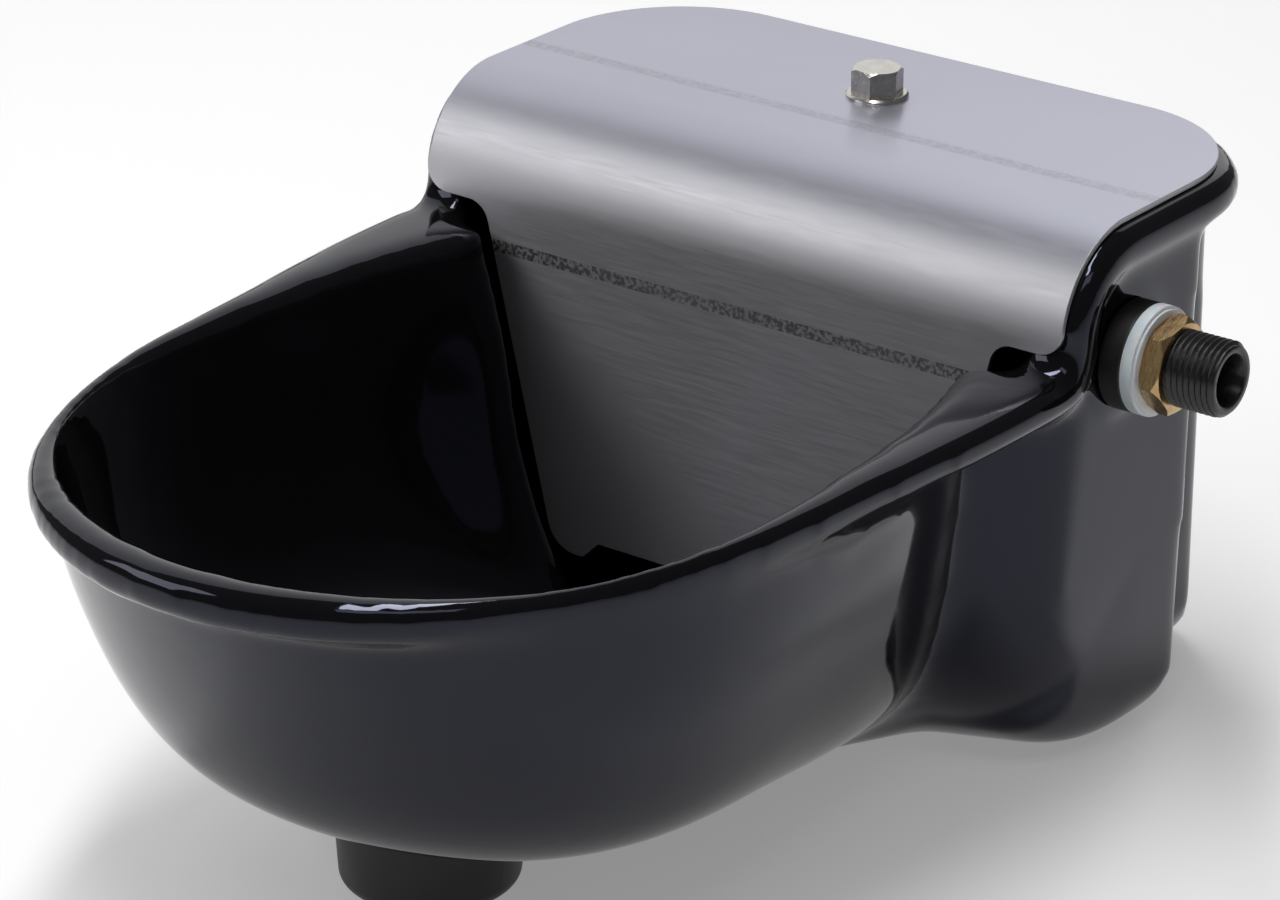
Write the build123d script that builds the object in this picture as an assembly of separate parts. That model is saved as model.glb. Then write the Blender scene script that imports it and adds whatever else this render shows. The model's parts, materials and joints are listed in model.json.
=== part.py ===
from build123d import *
from functools import cache
import math
import os

# Livestock drinking bowl: an enamelled cast-iron bowl with a float-valve tank behind it.
# Millimetres. While it is built, z = 0 is the surface that the bowl stands on, y = 0 is the
# wall behind it, +X is the inlet side and -Y points at the animal. On export everything is
# lowered, so that the centre of the two wall bolts is the origin.

# Wall fixing
WALL_BOLT_SPACING = 120.0
WALL_BOLT_HOLE_R = 5.5
WALL_BOLT_DROP = 26.5

# Bowl: reach from the wall, half widths and heights
RIM_REACH = 353.0
RIM_TOP = 125.5
RIM_DEPTH = 12.5
RIM_HALF_WIDTH = 107.3
RIM_OVERHANG = 7.5
RIM_FOOT_R = 5.0
RIM_EDGE_R = 5.0
HULL_TOP_DROP = 6.5
HULL_BOTTOM = 18.5
HULL_TILT = 19.0
HULL_TILT_SPAN = 120.0
BOWL_WALL = 5.5
BOWL_FLOOR = 6.5
NOSE_LENGTH = 103.0
BELLY_LENGTH = 45.0

# Levels of the hull from the rim down: share of its depth, then the half width at the belly
# and the reach, as shares of those at the rim
HULL_LEVELS = [
    (0.0, 1.0, 1.0),
    (0.23, 0.995, 0.972),
    (0.46, 0.963, 0.946),
    (0.65, 0.893, 0.924),
    (0.81, 0.772, 0.899),
    (0.92, 0.56, 0.858),
    (1.0, 0.37, 0.765),
]
HULL_SHOULDER_OUT = 0.6
HULL_SHOULDER_ALONG = 0.38
HULL_NOSE_ANGLES = (0.15, 0.6, 1.1)

# Rim in plan: half width as a share of the widest, and the share of the way from the belly to
# the nose
RIM_NOSE_SHARES = [(0.96, 0.27), (0.85, 0.561), (0.61, 0.821), (0.325, 0.955)]
RIM_WAIST_SHARES = [(1.035, 0.267), (1.0, 0.907)]
RIM_SHOULDER = 30.0

# Neck, where the hull meets the tank, and the pillars beside it
NECK_LAP = 1.0
NECK_TAPER = 0.13
NECK_FOOT_TAPER = 0.4
FOOT_POWER = 6
PILLAR_WIDTH = 28.0
PILLAR_SPREAD = 26.5
PILLAR_FOOT_SPREAD = 22.0
PILLAR_THICKNESS = 9.0
HULL_ROOT_LAP = 19.0
PASSAGE_LAP = 13.0

# Tank behind the bowl
TANK_TOP = 159.5
TANK_FRONT = -131.0
TANK_STEP_Y = -49.0
TANK_HALF_WIDTH = 108.5
TANK_DRAFT = 5.0
TANK_FRONT_CORNER_R = 34.0
TANK_STEP_CORNER_R = 7.0
TANK_FOOT_R = 16.0
TANK_WALL = 6.0
TANK_FLOOR = 6.5
TANK_STEP = 20.5
BACK_DRAFT = 4.0
BACK_CORNER_R = 24.0
BACK_WALL = 8.0
BACK_LAP = 20.0
LAP_CORNER_R = 4.0
TANK_RIM_OVERHANG = 3.0
TANK_RIM_CORNER_R = 44.0
TANK_RIM_REAR_GAP = 7.0
MOUTH_BACK_LIP = 8.0
MOUTH_REAR_Y = -24.0
MOUTH_CORNER_R = 18.0
MOUTH_FRONT_CORNER_R = 12.0
MOUTH_LOW = 60.0

# Stainless cover
SHEET = 1.5
COVER_INSET = 2.0
COVER_LAP = 10.5
COVER_REAR_Y = -12.2
COVER_REAR_CORNER_R = 42.0
COVER_BEND_R = 29.0
COVER_CORNER_R = 7.0
COVER_SIDE_RISE = 4.5
COVER_FIT = 0.3
SKIRT_STANDOFF = 3.5
SKIRT_LAP = 5.5
SKIRT_FOOT_LAP = 8.0
SKIRT_BOTTOM = 30.0
SKIRT_CORNER_R = 10.0
SKIRT_PORT_LIP = 8.0
SKIRT_PORT_RISE = 5.5
SKIRT_PORT_CORNER_R = 2.0

# Cover bolt, its nut and the lug that carries them
BOLT_Y = -50.0
BOLT_R = 4.0
BOLT_HEAD_AF = 13.0
BOLT_HEAD_HEIGHT = 8.4
BOLT_HEAD_CROWN = 0.9
BOLT_FLANGE_R = 8.9
BOLT_FLANGE_THICKNESS = 1.3
BOLT_FLANGE_CHAMFER = 0.6
BOLT_LENGTH = 28.0
BOLT_TIP_CHAMFER = 0.8
BOLT_HOLE_R = 4.5
NUT_AF = 13.0
NUT_HEIGHT = 6.5
NUT_DEPTH = 12.0
NUT_SLOT_PLAY = 0.2
LUG_HALF_WIDTH = 13.0
LUG_REACH = 13.0
LUG_DEPTH = 26.0

# Drain plug
PLUG_BOTTOM_R = 24.0
PLUG_TAPER = 0.06
PLUG_FIT = 0.3
PLUG_SEAT_Z = 29.0
PLUG_SEAT_R = 37.0
PLUG_SEAT_ROOT = 2.0
PLUG_FLANGE_R = 33.0
PLUG_FLANGE_THICKNESS = 4.0
PLUG_FLANGE_EDGE_R = 1.5
PLUG_RECESS_PLAY = 1.0
PLUG_RECESS_HEIGHT = 18.5
PLUG_EDGE_R = 4.0
PLUG_GRIP_HEIGHT = 20.0
PLUG_GRIP_HALF_WIDTH = 15.0
PLUG_GRIP_CORNER_R = 12.0
PLUG_GRIP_THICKNESS = 7.0
PLUG_GRIP_HOLE_R = 6.5
PLUG_GRIP_HOLE_DROP = 13.5

# Inlet through the right-hand wall
INLET_Y = -88.4
INLET_DROP = 36.6
INLET_PAD_R = 17.0
INLET_WALL = 8.5
STUB_R = 10.48
STUB_SHANK_R = 9.9
STUB_REACH = 32.0
STUB_BORE_R = 7.1
STUB_CHAMFER = 1.2
STUB_HOLE_PLAY = 0.3
WASHER_R = 15.1
WASHER_EDGE_R = 0.6
RUBBER_WASHER_THICKNESS = 6.9
NYLON_FLANGE_THICKNESS = 3.4
NYLON_COLLAR_THICKNESS = 0.8
NYLON_COLLAR_R = 14.2
BACKNUT_AF = 23.6
BACKNUT_THICKNESS = 6.0
BACKNUT_TURN = 12.0
BACKNUT_BEVEL = 0.9
THREAD_PLAY = 0.05
GASKET_THICKNESS = 2.0
BODY_FLANGE_R = 15.0
BODY_FLANGE_THICKNESS = 4.0

# Float valve: barrel, jet, piston and fork. Places are measured inwards from the inlet's pad
BARREL_R = 12.5
BARREL_END_INSET = 44.5
JET_LIP_INSET = 24.5
JET_BORE_R = 2.6
JET_NECK_R = 5.0
JET_FLANGE_THICKNESS = 2.0
JET_SEAL_THICKNESS = 1.0
JET_WALL_BACK = 0.8
JET_WALL_THICKNESS = 4.2
JET_TIP_CHAMFER = 0.7
JET_FIT = 0.1
PISTON_R = 7.0
PISTON_PLAY = 0.08
PISTON_CHAMFER = 0.8
PISTON_SEAL_R = 5.2
PISTON_SEAL_THICKNESS = 3.0
PISTON_SEAL_POCKET = 2.5
OUTLET_LENGTH = 13.0
OUTLET_HALF_WIDTH = 5.0
FORK_GAP_HALF = 6.5
FORK_CHEEK = 4.0
FORK_TIP_REACH = 11.0
FORK_ROOT_REACH = 22.0
FORK_TOP_ABOVE_AXIS = 5.5
FORK_BELOW_HUB = 2.2
FORK_ABOVE_HUB = 1.0
FORK_ROOT_RISE = 6.0
FORK_CORNER_RADII = [1.5, 0.5, 6.0, 3.0]
STOP_BAR_LENGTH = 4.5
STOP_BAR_HEIGHT = 4.0
STOP_GAP = 0.3

# Lever, pin and float
PIVOT_INSET = 56.5
CRANK = 14.0
LEVER_SWING = 18.0
LEVER_ARM = 87.0
NOSE_R = 4.0
NOSE_GAP = 0.3
HUB_R = 6.0
LEVER_SIDE_PLAY = 0.5
ARM_HALF_HEIGHT = 4.0
ARM_LIP = 2.0
ARM_WEB_HALF = 1.5
ARM_EYE_R = 8.0
PIN_R = 2.5
PIN_PLAY = 0.05
PIN_HEAD_R = 4.2
PIN_HEAD_THICKNESS = 1.5
PIN_TAIL = 4.5
CLIP_R = 5.2
CLIP_THICKNESS = 0.9
CLIP_STANDOFF = 0.4
CLIP_GROOVE_R = 1.9
CLIP_GROOVE_PLAY = 0.1
CLIP_MOUTH = 3.2
STEM_R = 3.0
STEM_HOLE_PLAY = 0.15
STEM_ABOVE_ARM = 14.0
STEM_CHAMFER = 0.6
NUT_M6_AF = 10.0
NUT_M6_HEIGHT = 5.0
KNOB_R = 9.0
KNOB_HEIGHT = 7.0
KNOB_EDGE_R = 1.2
KNOB_FLUTES = 8
KNOB_FLUTE_R = 2.2
KNOB_FLUTE_OUT = 1.2
FLOAT_LENGTH = 72.0
FLOAT_WIDTH = 46.0
FLOAT_HEIGHT = 42.0
FLOAT_DROP = 21.7
FLOAT_CORNER_R = 14.0
FLOAT_EDGE_R = 6.0
FLOAT_CAP_HEIGHT = 3.0
FLOAT_CAP_R = 9.0
STEM_SOCKET_DEPTH = 24.0

# Cutters run this far past what they cut, and FAR is past everything
OVERCUT = 5.0
FAR = 500.0
SKIN = 0.5

# What follows from the sizes above
WALL_BOLT_HEIGHT = TANK_TOP - WALL_BOLT_DROP
HULL_TOP = RIM_TOP - HULL_TOP_DROP
NOSE_CENTRE_Y = NOSE_LENGTH - RIM_REACH
BELLY_Y = NOSE_CENTRE_Y + BELLY_LENGTH
NECK_Y = TANK_FRONT + NECK_LAP
CASTING_SPLIT_Y = TANK_FRONT - NECK_LAP
PILLAR_BACK_Y = TANK_FRONT + PILLAR_THICKNESS
PILLAR_TOP_HALF_GAP = TANK_HALF_WIDTH - PILLAR_WIDTH
PILLAR_FOOT_HALF_GAP = PILLAR_TOP_HALF_GAP - PILLAR_SPREAD
NECK_HALF_WIDTH = PILLAR_TOP_HALF_GAP + BOWL_WALL
SKIRT_PORT_HALF_WIDTH = PILLAR_FOOT_HALF_GAP - SKIRT_PORT_LIP
BACK_HALF_WIDTH = TANK_HALF_WIDTH - TANK_STEP
TANK_RIM_HALF_WIDTH = TANK_HALF_WIDTH + TANK_RIM_OVERHANG
TOP_OF_COVER = TANK_TOP + SHEET
COVER_HALF_WIDTH = TANK_HALF_WIDTH - COVER_INSET
COVER_FRONT_Y = PILLAR_BACK_Y + SKIRT_STANDOFF
MOUTH_HALF_WIDTH = COVER_HALF_WIDTH - COVER_LAP
MOUTH_BACK_HALF_WIDTH = BACK_HALF_WIDTH - MOUTH_BACK_LIP
INLET_Z = TANK_TOP - INLET_DROP
INLET_PAD_X = TANK_HALF_WIDTH
INLET_INNER_X = INLET_PAD_X - INLET_WALL
STUB_END_X = INLET_PAD_X + STUB_REACH
NYLON_WASHER_X = INLET_PAD_X + RUBBER_WASHER_THICKNESS
BACKNUT_X = NYLON_WASHER_X + NYLON_FLANGE_THICKNESS + NYLON_COLLAR_THICKNESS
BACKNUT_END_X = BACKNUT_X + BACKNUT_THICKNESS
GASKET_X = INLET_INNER_X - GASKET_THICKNESS
BARREL_END_X = INLET_PAD_X - BARREL_END_INSET
JET_LIP_X = INLET_PAD_X - JET_LIP_INSET
JET_WALL_X = JET_LIP_X + JET_WALL_BACK
JET_WALL_END_X = JET_WALL_X + JET_WALL_THICKNESS
PIVOT_X = INLET_PAD_X - PIVOT_INSET
PIVOT_Z = INLET_Z - CRANK
STEM_X = PIVOT_X - LEVER_ARM
FORK_TIP_X = PIVOT_X - FORK_TIP_REACH
FORK_ROOT_X = PIVOT_X + FORK_ROOT_REACH
LEVER_HALF = FORK_GAP_HALF - LEVER_SIDE_PLAY
PISTON_TRAVEL = CRANK * math.radians(LEVER_SWING)
PISTON_FRONT_X = JET_LIP_X - NOSE_GAP - PISTON_TRAVEL
PISTON_BACK_X = PIVOT_X + NOSE_R + NOSE_GAP
FLOAT_TOP = PIVOT_Z - FLOAT_DROP
FLOAT_CAP_TOP = FLOAT_TOP + FLOAT_CAP_HEIGHT
ARM_TOP = PIVOT_Z + ARM_HALF_HEIGHT
ARM_LOW = PIVOT_Z - ARM_HALF_HEIGHT
TO_ROW = Pos(0, 0, -WALL_BOLT_HEIGHT)


def rounded_plan(half, front, rear, front_r, rear_r, z):
    """Plan outline at height z, symmetric about x = 0, with round front and rear corners."""
    corners = [(half, rear), (half, front), (-half, front), (-half, rear)]
    radii = [rear_r, front_r, front_r, rear_r]
    return Pos(0, 0, z) * make_face(FilletPolyline(*corners, radius=radii, close=True))


def side_face(edges):
    """Face in the Y-Z plane from edges drawn with x as Y and y as Z."""
    return Plane.YZ * make_face(edges)


def front_face(outline):
    """Face in the X-Z plane, inside an open outline drawn with x as X and y as Z."""
    closing = Line(outline @ 1, outline @ 0)
    return Plane.XZ * make_face(outline.edges() + [closing])


def disc(radius, x0, x1, y=INLET_Y, z=INLET_Z):
    """Cylinder along X from x0 to x1, on the inlet's axis unless told otherwise."""
    turned = Pos((x0 + x1) / 2, y, z) * Rot(0, 90, 0)
    return turned * Cylinder(radius, abs(x1 - x0))


def ring(outer_r, inner_r, x0, x1):
    return disc(outer_r, x0, x1) - disc(inner_r, x0 - OVERCUT, x1 + OVERCUT)


def post(radius, z0, z1, x=0.0, y=0.0):
    """Cylinder along Z from z0 to z1."""
    return Pos(x, y, (z0 + z1) / 2) * Cylinder(radius, z1 - z0)


def bar(radius, x, z, length):
    """Cylinder along Y, centred on y = 0."""
    return Pos(x, 0, z) * Rot(90, 0, 0) * Cylinder(radius, length)


def block(x0, x1, y0, y1, z0, z1):
    return Pos((x0 + x1) / 2, (y0 + y1) / 2, (z0 + z1) / 2) * Box(x1 - x0, y1 - y0, z1 - z0)


def hexagon_prism(across_flats, height, turn=0.0):
    """Hexagon along Z, centred."""
    sketch = RegularPolygon(across_flats / 2, 6, major_radius=False, rotation=turn)
    return extrude(sketch, height / 2, both=True)


def hull_section(level, inset, floor_z, throat, root_y):
    """One level of the bowl: a closed outline on a plane that tilts more with depth."""
    share, belly, reach = level
    height = HULL_TOP - share * (HULL_TOP - floor_z)
    slope = HULL_TILT / HULL_TILT_SPAN * share**1.5
    half = (RIM_HALF_WIDTH - RIM_OVERHANG) * belly - inset
    tip = (RIM_REACH - RIM_OVERHANG) * reach - inset
    nose = tip + NOSE_CENTRE_Y

    def at(x, y):
        return (x, y, height - slope * (y - NOSE_CENTRE_Y))

    shoulder_x = throat + HULL_SHOULDER_OUT * (half - throat)
    shoulder_y = NECK_Y + HULL_SHOULDER_ALONG * (BELLY_Y - NECK_Y)
    right = [at(throat, NECK_Y), at(shoulder_x, shoulder_y), at(half, BELLY_Y)]
    for a in HULL_NOSE_ANGLES:
        right.append(at(half * math.cos(a), NOSE_CENTRE_Y - nose * math.sin(a)))
    left = [(-x, y, z) for x, y, z in reversed(right)]
    curve = Spline(right + [at(0, -tip)] + left)
    back = Polyline(left[-1], at(-throat, root_y), at(throat, root_y), right[0])
    return Face(Wire([curve] + back.edges()))


def outer_throat(share):
    """Half width of the hull where it meets the tank."""
    return NECK_HALF_WIDTH * (1.0 - NECK_TAPER * share - NECK_FOOT_TAPER * share**FOOT_POWER)


def inner_throat(share):
    """Half width between the two pillars that divide the bowl from the tank."""
    return PILLAR_TOP_HALF_GAP - PILLAR_SPREAD * share - PILLAR_FOOT_SPREAD * share**FOOT_POWER


def bowl_outside():
    levels = [
        hull_section(v, 0.0, HULL_BOTTOM, outer_throat(v[0]), TANK_FRONT + HULL_ROOT_LAP)
        for v in HULL_LEVELS
    ]
    above_ground = block(-FAR, FAR, -FAR, FAR, 0, FAR)
    return loft(levels) & above_ground


def bowl_inside():
    floor = HULL_BOTTOM + BOWL_FLOOR
    levels = [
        hull_section(v, BOWL_WALL, floor, inner_throat(v[0]), TANK_FRONT + PASSAGE_LAP)
        for v in HULL_LEVELS
    ]
    mouth = extrude(levels[0], TANK_TOP - HULL_TOP, dir=(0, 0, 1))
    return loft(levels) + mouth


def rim_line(depth):
    """Side view of the rim's top, or of the line that runs that far inside it."""
    front = COVER_FRONT_Y + SHEET + COVER_FIT + depth
    bend = COVER_BEND_R - SHEET - COVER_FIT - depth
    return FilletPolyline(
        (-FAR, RIM_TOP - depth),
        (front, RIM_TOP - depth),
        (front, TANK_TOP - depth),
        (OVERCUT, TANK_TOP - depth),
        radius=[RIM_FOOT_R + depth, bend],
    )


def below_rim(depth):
    """Everything lower than the line that runs that far inside the rim."""
    under = rim_line(depth)
    close = Polyline(under @ 1, (OVERCUT, -OVERCUT), (-FAR, -OVERCUT), under @ 0)
    return extrude(side_face(under.edges() + close.edges()), FAR, both=True)


def rim_outline():
    """Plan of the rim's outer edge, round the bowl and the tank."""
    right = [(TANK_RIM_HALF_WIDTH, TANK_FRONT + RIM_SHOULDER)]
    for wide, along in RIM_WAIST_SHARES:
        right.append((RIM_HALF_WIDTH * wide, NECK_Y + along * (BELLY_Y - NECK_Y)))
    for wide, along in RIM_NOSE_SHARES:
        right.append((RIM_HALF_WIDTH * wide, BELLY_Y - along * (BELLY_Y + RIM_REACH)))
    left = [(-x, y) for x, y in reversed(right)]
    nose = Spline(
        right + [(0, -RIM_REACH)] + left, tangents=[(0, -1), (0, 1)], tangent_scalars=[1.0, 1.0]
    )
    back = FilletPolyline(
        left[-1],
        (-TANK_RIM_HALF_WIDTH, -TANK_RIM_REAR_GAP),
        (TANK_RIM_HALF_WIDTH, -TANK_RIM_REAR_GAP),
        right[0],
        radius=[TANK_RIM_CORNER_R, TANK_RIM_CORNER_R],
    )
    return make_face([nose] + back.edges())


def rim_plate():
    """The rolled rim before the bowl and the tank are cut through it."""
    top = rim_line(0.0)
    under = rim_line(RIM_DEPTH)
    ends = [Line(top @ 0, under @ 0), Line(top @ 1, under @ 1)]
    band = extrude(side_face(top.edges() + under.edges() + ends), FAR, both=True)
    plate = extrude(rim_outline(), FAR) & band
    crossing = [e for e in plate.edges() if e.geom_type == GeomType.LINE and e.length > RIM_REACH / 2]
    lips = [e for e in plate.edges() if e not in crossing]
    return fillet(lips, RIM_EDGE_R)


def tank_block(top_half, foot_half, front, rear, front_r, rear_r, floor_z):
    """Box with drafted sides, round upright corners and a round lower edge behind and beside."""
    foot_r = TANK_FOOT_R - floor_z
    wide = FilletPolyline(
        (-top_half, TANK_TOP),
        (-foot_half, floor_z),
        (foot_half, floor_z),
        (top_half, TANK_TOP),
        radius=[foot_r, foot_r],
    )
    seen_from_front = extrude(front_face(wide), FAR, both=True)
    deep = Polyline((rear, TANK_TOP + SKIN), (-FAR, TANK_TOP + SKIN), (-FAR, floor_z - SKIN))
    heel = FilletPolyline(
        (-FAR, floor_z - SKIN),
        (rear, floor_z - SKIN),
        (rear, TANK_TOP + SKIN),
        radius=TANK_FOOT_R,
    )
    seen_from_side = extrude(side_face(deep.edges() + heel.edges()), FAR, both=True)
    plan = rounded_plan(top_half + SKIN, front, rear + SKIN, front_r, rear_r, -OVERCUT)
    seen_from_above = extrude(plan, FAR, dir=(0, 0, 1))
    return seen_from_front & seen_from_side & seen_from_above


def tank_walls(inset, floor_z, front, step, back):
    """Wide front and narrow rear of the tank, or of the space inside it."""
    wide = tank_block(
        TANK_HALF_WIDTH - inset,
        TANK_HALF_WIDTH - TANK_DRAFT - inset,
        front,
        step,
        TANK_FRONT_CORNER_R - inset,
        TANK_STEP_CORNER_R,
        floor_z,
    )
    narrow = tank_block(
        BACK_HALF_WIDTH - inset,
        BACK_HALF_WIDTH - BACK_DRAFT - inset,
        front + BACK_LAP,
        back,
        LAP_CORNER_R,
        BACK_CORNER_R - inset,
        floor_z,
    )
    return wide + narrow


def tank_outside():
    return tank_walls(0.0, 0.0, TANK_FRONT, TANK_STEP_Y, 0.0) & below_rim(RIM_DEPTH / 2)


def tank_inside():
    step = TANK_STEP_Y - TANK_WALL
    return tank_walls(TANK_WALL, TANK_FLOOR, PILLAR_BACK_Y, step, -BACK_WALL)


def tank_mouth():
    """Opening inside the flange that the cover lies on."""
    wide = rounded_plan(
        MOUTH_HALF_WIDTH,
        PILLAR_BACK_Y,
        TANK_STEP_Y - TANK_WALL,
        MOUTH_FRONT_CORNER_R,
        TANK_STEP_CORNER_R,
        MOUTH_LOW,
    )
    deep = rounded_plan(
        MOUTH_BACK_HALF_WIDTH,
        PILLAR_BACK_Y + BACK_LAP,
        MOUTH_REAR_Y,
        LAP_CORNER_R,
        MOUTH_CORNER_R,
        MOUTH_LOW,
    )
    return extrude(wide + deep, TANK_TOP, dir=(0, 0, 1))


def bolt_lug():
    """Lug on the rear wall under the cover, braced by a slope as long as its reach."""
    front = BOLT_Y - LUG_REACH
    outline = Polyline(
        (-BACK_WALL, TANK_TOP),
        (front, TANK_TOP),
        (front, TANK_TOP - LUG_DEPTH),
        (-BACK_WALL, TANK_TOP - LUG_DEPTH + front),
        close=True,
    )
    return extrude(side_face(outline.edges()), LUG_HALF_WIDTH, both=True)


def nut_slot():
    """Slot that holds the nut, open at the front of the lug."""
    height = NUT_HEIGHT + NUT_SLOT_PLAY
    half = NUT_AF / 2 + NUT_SLOT_PLAY
    top = TANK_TOP - NUT_DEPTH + NUT_SLOT_PLAY / 2
    pocket = block(-half, half, BOLT_Y - LUG_REACH - OVERCUT, BOLT_Y, top - height, top)
    tail = Pos(0, BOLT_Y, top - height / 2) * hexagon_prism(2 * half, height, 30.0)
    return pocket + tail


def plug_radius(z):
    return PLUG_BOTTOM_R + PLUG_TAPER * z


def plug_seat(body):
    """Thickens the bowl's floor round the drain, then cuts the recess and the tapered hole."""
    seat = post(PLUG_SEAT_R, HULL_BOTTOM + PLUG_SEAT_ROOT, PLUG_SEAT_Z, y=NOSE_CENTRE_Y)
    body += seat & bowl_outside()
    recess_r = PLUG_FLANGE_R + PLUG_RECESS_PLAY
    body -= post(recess_r, PLUG_SEAT_Z, PLUG_SEAT_Z + PLUG_RECESS_HEIGHT, y=NOSE_CENTRE_Y)
    low, high = -OVERCUT, PLUG_SEAT_Z + OVERCUT
    hole = Cone(plug_radius(low) + PLUG_FIT, plug_radius(high) + PLUG_FIT, high - low)
    return body - Pos(0, NOSE_CENTRE_Y, (low + high) / 2) * hole


@cache
def casting():
    """The whole enamelled casting: bowl, tank, rim, lug, inlet pad and every hole."""
    body = bowl_outside() + tank_outside() + rim_plate()
    body += disc(INLET_PAD_R, MOUTH_HALF_WIDTH, INLET_PAD_X)
    body -= bowl_inside()
    body -= tank_inside() & below_rim(RIM_DEPTH)
    body -= tank_mouth()
    body = plug_seat(body)
    body += disc(INLET_PAD_R, INLET_INNER_X, INLET_PAD_X - TANK_WALL / 2)
    body += bolt_lug()
    body -= nut_slot()
    lug_foot = TANK_TOP - LUG_DEPTH + BOLT_Y - LUG_REACH
    body -= post(BOLT_HOLE_R, lug_foot, TANK_TOP + OVERCUT, y=BOLT_Y)
    body -= disc(STUB_R + STUB_HOLE_PLAY, INLET_INNER_X - OVERCUT, INLET_PAD_X + OVERCUT)
    for x in (-WALL_BOLT_SPACING / 2, WALL_BOLT_SPACING / 2):
        body -= Pos(0, -BACK_WALL / 2, 0) * bar(WALL_BOLT_HOLE_R, x, WALL_BOLT_HEIGHT, 4 * BACK_WALL)
    return body


def bowl_casting():
    """The casting in front of the line where the hull meets the tank."""
    return casting() & block(-FAR, FAR, -FAR, CASTING_SPLIT_Y, -FAR, FAR)


def tank_casting():
    """The rest of the same casting. Each half is simple enough for its collision pieces."""
    return casting() & block(-FAR, FAR, CASTING_SPLIT_Y, FAR, -FAR, FAR)


def cover_plate():
    """Stainless cover: top sheet, rolled front and a skirt that hangs behind the pillars."""
    top, front, rear = TOP_OF_COVER, COVER_FRONT_Y, COVER_REAR_Y
    outside = FilletPolyline((rear, top), (front, top), (front, SKIRT_BOTTOM), radius=COVER_BEND_R)
    inside = FilletPolyline(
        (rear, top - SHEET),
        (front + SHEET, top - SHEET),
        (front + SHEET, SKIRT_BOTTOM),
        radius=COVER_BEND_R - SHEET,
    )
    ends = [Line(outside @ 0, inside @ 0), Line(outside @ 1, inside @ 1)]
    sheet = extrude(side_face(outside.edges() + inside.edges() + ends), COVER_HALF_WIDTH, both=True)
    plan = rounded_plan(COVER_HALF_WIDTH, front - OVERCUT, rear, 0, COVER_REAR_CORNER_R, 0)
    cover = sheet & extrude(plan, FAR)
    cover &= extrude(front_face(cover_front_outline()), FAR, dir=(0, -1, 0))
    return cover - post(BOLT_HOLE_R, top - OVERCUT, top + OVERCUT, y=BOLT_Y)


def cover_front_outline():
    """The cover seen from the front: wide above the rim, then a skirt with a water port."""
    sill = SKIRT_BOTTOM + SKIRT_PORT_RISE
    side = RIM_TOP + COVER_SIDE_RISE
    left = [
        (-COVER_HALF_WIDTH, TOP_OF_COVER + OVERCUT),
        (-COVER_HALF_WIDTH, side),
        (-PILLAR_TOP_HALF_GAP - SKIRT_LAP, side),
        (-PILLAR_FOOT_HALF_GAP - SKIRT_FOOT_LAP, SKIRT_BOTTOM),
        (-SKIRT_PORT_HALF_WIDTH - SKIRT_PORT_RISE, SKIRT_BOTTOM),
        (-SKIRT_PORT_HALF_WIDTH, sill),
    ]
    right = [(-x, z) for x, z in reversed(left)]
    turns = [COVER_CORNER_R, COVER_CORNER_R, SKIRT_CORNER_R, SKIRT_PORT_CORNER_R, SKIRT_PORT_CORNER_R]
    return FilletPolyline(*left, *right, radius=turns + turns[::-1])


def cover_bolt():
    """Flanged hexagon bolt with a chamfered head and a plain shank."""
    seat = TOP_OF_COVER
    head_foot = seat + BOLT_FLANGE_THICKNESS
    head_top = seat + BOLT_HEAD_HEIGHT
    flange = post(BOLT_FLANGE_R, seat, head_foot, y=BOLT_Y)
    flange = chamfer(flange.edges().sort_by(Axis.Z)[-1], BOLT_FLANGE_CHAMFER)
    rise = head_top - head_foot
    head = Pos(0, BOLT_Y, head_foot + rise / 2) * hexagon_prism(BOLT_HEAD_AF, rise)
    corner = BOLT_HEAD_AF / math.sqrt(3)
    crown = BOLT_HEAD_CROWN
    cone = Cone(corner + rise, corner - crown, rise + crown)
    head &= Pos(0, BOLT_Y, head_top - (rise + crown) / 2) * cone
    shank = post(BOLT_R - THREAD_PLAY, seat - BOLT_LENGTH, head_foot, y=BOLT_Y)
    shank = chamfer(shank.edges().sort_by(Axis.Z)[0], BOLT_TIP_CHAMFER)
    return flange + head + shank


def cover_nut():
    """Hexagon nut held in the lug's slot."""
    top = TANK_TOP - NUT_DEPTH
    nut = Pos(0, BOLT_Y, top - NUT_HEIGHT / 2) * hexagon_prism(NUT_AF, NUT_HEIGHT, 30.0)
    return nut - post(BOLT_R, top - NUT_HEIGHT - OVERCUT, top + OVERCUT, y=BOLT_Y)


def drain_plug():
    """Tapered rubber bung with a flange and a pull loop inside the bowl."""
    body = Pos(0, 0, PLUG_SEAT_Z / 2) * Cone(plug_radius(0), plug_radius(PLUG_SEAT_Z), PLUG_SEAT_Z)
    body = fillet(body.edges().sort_by(Axis.Z)[0], PLUG_EDGE_R)
    top = PLUG_SEAT_Z + PLUG_FLANGE_THICKNESS
    flange = post(PLUG_FLANGE_R, PLUG_SEAT_Z, top)
    flange = fillet(flange.edges().sort_by(Axis.Z)[-1], PLUG_FLANGE_EDGE_R)
    half, grip_top = PLUG_GRIP_HALF_WIDTH, top + PLUG_GRIP_HEIGHT
    arch = FilletPolyline(
        (-half, PLUG_SEAT_Z), (-half, grip_top), (half, grip_top), (half, PLUG_SEAT_Z),
        radius=PLUG_GRIP_CORNER_R,
    )
    grip = extrude(front_face(arch), PLUG_GRIP_THICKNESS / 2, both=True)
    grip -= bar(PLUG_GRIP_HOLE_R, 0, grip_top - PLUG_GRIP_HOLE_DROP, FAR)
    return Pos(0, NOSE_CENTRE_Y, 0) * (body + flange + grip)


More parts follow.
